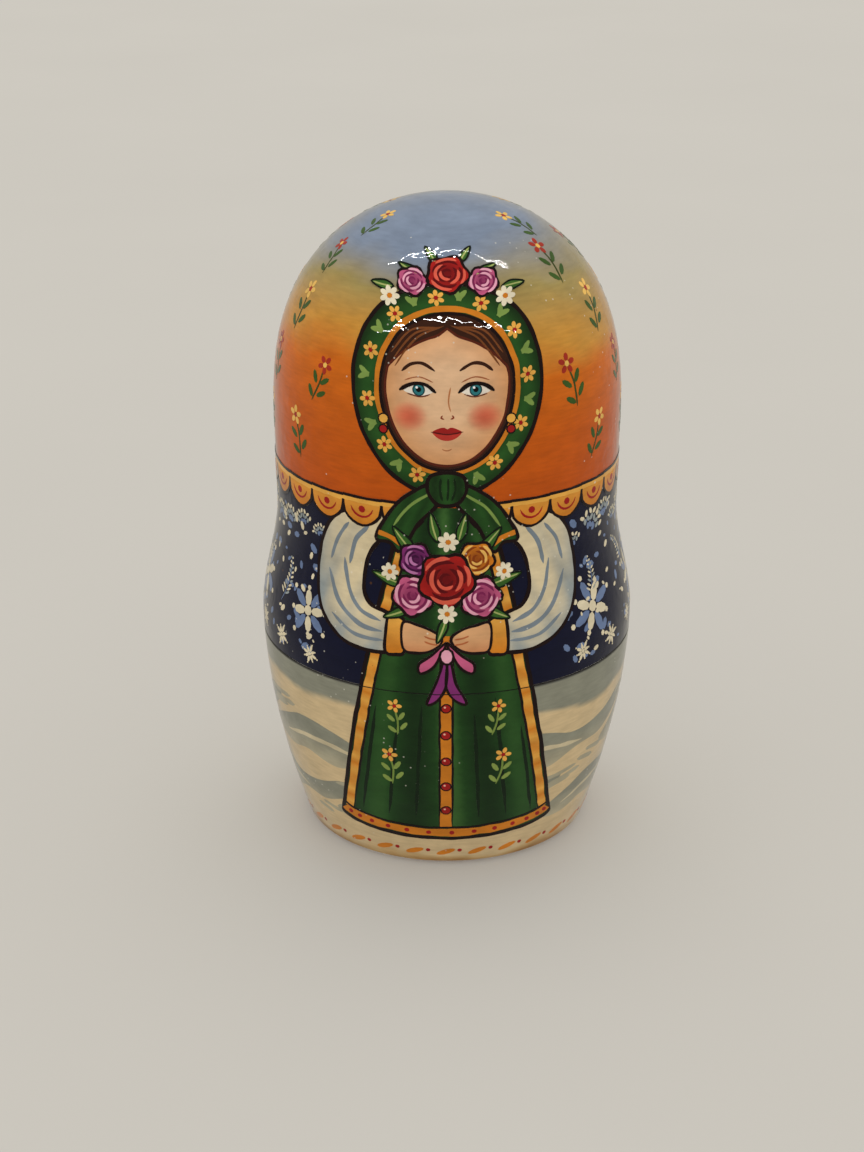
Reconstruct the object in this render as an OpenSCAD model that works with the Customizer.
// Nesting doll set: a turned wooden doll that opens below the waist and holds four smaller dolls.
// Millimetres, +Z up, origin at the centre of the outer doll's foot, painted front towards -Y.
// All dolls have the same turned form. The hollow of each one takes its size from the doll
// that nests in it plus the clearance named below.

/* [Outer doll] */
// Height of the closed doll
doll_height = 110; // [100:1:150]
// Width of the flat foot
foot_width = 49.2; // [42:0.2:56]
// Width of the belly, the widest ring
belly_width = 63.8; // [58:0.2:76]
// Height of the belly ring above the foot
belly_height = 38.2; // [30:0.2:44]
// Width of the neck, the narrowest ring between belly and head
neck_width = 57.8; // [50:0.2:60]
// Rise from the belly ring to the neck ring
neck_rise = 20.6; // [16:0.2:26]
// Width of the head
head_width = 58.2; // [52:0.2:60]
// Rise from the neck ring to the head's widest ring
head_rise = 15.8; // [8:0.2:20]
// Depth of the seam between the two halves below the belly ring
seam_drop = 2.6; // [1:0.2:8]

/* [Turned curves] */
// How full the lower body is: 1 is a plain cone, more is rounder
belly_fullness = 1.77; // [1.3:0.01:2.4]
// How full the crown is: 2 is an ellipse, more is squarer
crown_fullness = 2.51; // [2:0.01:3]

/* [Dolls inside] */
// Size of each doll as a share of the doll around it
next_doll_share = 0.775; // [0.7:0.005:0.8]
// Gap around a doll inside the next one
nest_gap = 0.8; // [0.5:0.1:1.2]

/* [Wood of the outer doll] */
// Thickness of the floor
floor_thickness = 5.5; // [4:0.1:8]
// Thickness over the crown
roof_thickness = 7; // [4.5:0.1:9]
// Thickness of the rim on the lower half
rim_thickness = 2; // [1.6:0.1:2.6]
// Height of the rim above the seam
rim_height = 10.5; // [7:0.5:13]

/* [Clearances of the rim] */
// Gap between the rim and the socket that it slides into
fit_gap = 0.1; // [0.05:0.05:0.3]
// Gap above the rim when the halves are closed
rim_headroom = 0.5; // [0.3:0.1:1]

/* [Edges] */
// Bevel of the foot
foot_bevel = 0.8; // [0.4:0.1:1.2]
// Bevel of both halves at the seam
seam_bevel = 0.25; // [0.1:0.05:0.4]
// Bevel on top of the rim
rim_bevel = 0.3; // [0.1:0.05:0.35]
// Rounding in the inside corner of the floor
floor_cove = 1; // [0.5:0.1:1.5]

/* [Hidden] */
$fn = 96;

// Heights of the rings above the foot
neck_height = belly_height + neck_rise;
head_height = neck_height + head_rise;
seam_height = belly_height - seam_drop;

// Steps along the curves of an outline
body_steps = 18;
neck_steps = 16;
head_steps = 6;
crown_angle = 4;
cove_angle = 18;

// Outside radius of the outer doll at height z
function wave(t) = (1 - cos(180 * t)) / 2;
function crown(t) = sqrt(max(0, 1 - pow(min(1, max(0, t)), crown_fullness)));
function form_r(z) =
    z < belly_height
        ? belly_width / 2
            - (belly_width - foot_width) / 2 * pow(1 - z / belly_height, belly_fullness)
    : z < neck_height
        ? (belly_width + (neck_width - belly_width) * wave((z - belly_height) / neck_rise)) / 2
    : z < head_height
        ? (neck_width + (head_width - neck_width) * wave((z - neck_height) / head_rise)) / 2
    : head_width / 2 * crown((z - head_height) / (doll_height - head_height));

// Doll n has n dolls around it. at gives a size of the outer doll at doll n's size.
function at(n, v) = v * pow(next_doll_share, n);
function skin_r(n, z) = at(n, form_r(z / at(n, 1)));
function seam_z(n) = at(n, seam_height);
function rim_top(n) = at(n, seam_height + rim_height);
// Floors are whole hundredths, so that in the exported solids each foot just meets the floor under it.
function floor_z(n) = round(at(n, floor_thickness) * 100) / 100;

// Inside radius around doll n + 1, which stands on the floor of doll n.
// It only widens towards the mouth of each half, so what nests there can also be lifted out.
function nest_r(n, z) = skin_r(n + 1, z - floor_z(n)) + nest_gap;
function bore_r(n) = at(n + 1, belly_width / 2) + nest_gap;
function rim_r(n) = bore_r(n) + at(n, rim_thickness);
function socket_r(n) = rim_r(n) + fit_gap;
function throat_r(n) = at(n + 1, max(neck_width, head_width) / 2) + nest_gap;
function cap_r(n, z) = max(throat_r(n), nest_r(n, z));

// Height at which doll n stands, on the floors of the dolls around it
function stand_z(n) = n == 0 ? 0 : stand_z(n - 1) + floor_z(n - 1);

// Stretches of an outline, each a list of [radius, height] that leaves out its first point
function span(a, b, steps) = [for (i = [1 : steps]) a + (b - a) * i / steps];
function skin(n, from_z, to_z, steps) =
    [for (z = span(from_z, to_z, steps)) [skin_r(n, z), z]];
function dome(r, low_z, high_z) =
    [for (t = [crown_angle : crown_angle : 90 - crown_angle / 2])
        [r * cos(t), low_z + (high_z - low_z) * pow(sin(t), 2 / crown_fullness)]];
function foot(n) =
    [[0, 0], [at(n, foot_width / 2) - foot_bevel, 0], [skin_r(n, foot_bevel), foot_bevel]];
function head(n) = concat(
    skin(n, at(n, belly_height), at(n, neck_height), neck_steps),
    skin(n, at(n, neck_height), at(n, head_height), head_steps),
    dome(at(n, head_width / 2), at(n, head_height), at(n, doll_height)),
    [[0, at(n, doll_height)]]);
function reversed(list) = [for (i = [1 : len(list)]) list[len(list) - i]];

// The lower half: a cup with a thin rim that stands up inside the upper half
module lower_half(n) {
    corner_z = floor_z(n) + floor_cove;
    corner_r = nest_r(n, corner_z) - floor_cove;
    bore_end_z = floor_z(n) + at(n + 1, belly_height);
    translate([0, 0, stand_z(n)])
        rotate_extrude()
            polygon(concat(
                foot(n),
                skin(n, foot_bevel, seam_z(n) - seam_bevel, body_steps),
                [[skin_r(n, seam_z(n)) - seam_bevel, seam_z(n)],
                    [rim_r(n), seam_z(n)],
                    [rim_r(n), rim_top(n) - rim_bevel],
                    [rim_r(n) - rim_bevel, rim_top(n)],
                    [bore_r(n) + rim_bevel, rim_top(n)],
                    [bore_r(n), rim_top(n) - rim_bevel],
                    [bore_r(n), bore_end_z]],
                [for (z = span(bore_end_z, corner_z, body_steps)) [nest_r(n, z), z]],
                [for (t = [cove_angle : cove_angle : 90])
                    [corner_r + floor_cove * cos(t), corner_z - floor_cove * sin(t)]],
                [[0, floor_z(n)]]));
}

// The upper half: a cap with a socket in its mouth for the rim
module upper_half(n) {
    edge_z = seam_z(n) + seam_bevel;
    socket_z = rim_top(n) + rim_headroom;
    throat_z = floor_z(n) + at(n + 1, neck_height);
    roof_z = at(n, doll_height - roof_thickness);
    translate([0, 0, stand_z(n)])
        rotate_extrude()
            polygon(concat(
                [[skin_r(n, edge_z) - seam_bevel, seam_z(n)], [skin_r(n, edge_z), edge_z]],
                skin(n, edge_z, at(n, belly_height), head_steps),
                head(n),
                [[0, roof_z]],
                reversed(dome(throat_r(n), at(n, head_height), roof_z)),
                [[throat_r(n), at(n, head_height)]],
                throat_z > socket_z
                    ? [for (z = span(throat_z, socket_z, neck_steps)) [cap_r(n, z), z]]
                    : [[throat_r(n), socket_z]],
                [[socket_r(n), socket_z], [socket_r(n), seam_z(n)]]));
}

// The smallest doll: one solid piece
module solid_doll(n) {
    translate([0, 0, stand_z(n)])
        rotate_extrude()
            polygon(concat(
                foot(n),
                skin(n, foot_bevel, at(n, belly_height), body_steps),
                head(n)));
}

module outer_lower_half() {
    color("#d9c39a") lower_half(0);
}

module outer_upper_half() {
    color("#c8772f") upper_half(0);
}

module second_lower_half() {
    color("#2f5a25") lower_half(1);
}

module second_upper_half() {
    color("#c9a14e") upper_half(1);
}

module third_lower_half() {
    color("#a81c1a") lower_half(2);
}

module third_upper_half() {
    color("#8fa0b5") upper_half(2);
}

module fourth_lower_half() {
    color("#1f2140") lower_half(3);
}

module fourth_upper_half() {
    color("#c85a80") upper_half(3);
}

module smallest_doll() {
    color("#e3cfa6") solid_doll(4);
}

outer_lower_half();
outer_upper_half();
second_lower_half();
second_upper_half();
third_lower_half();
third_upper_half();
fourth_lower_half();
fourth_upper_half();
smallest_doll();
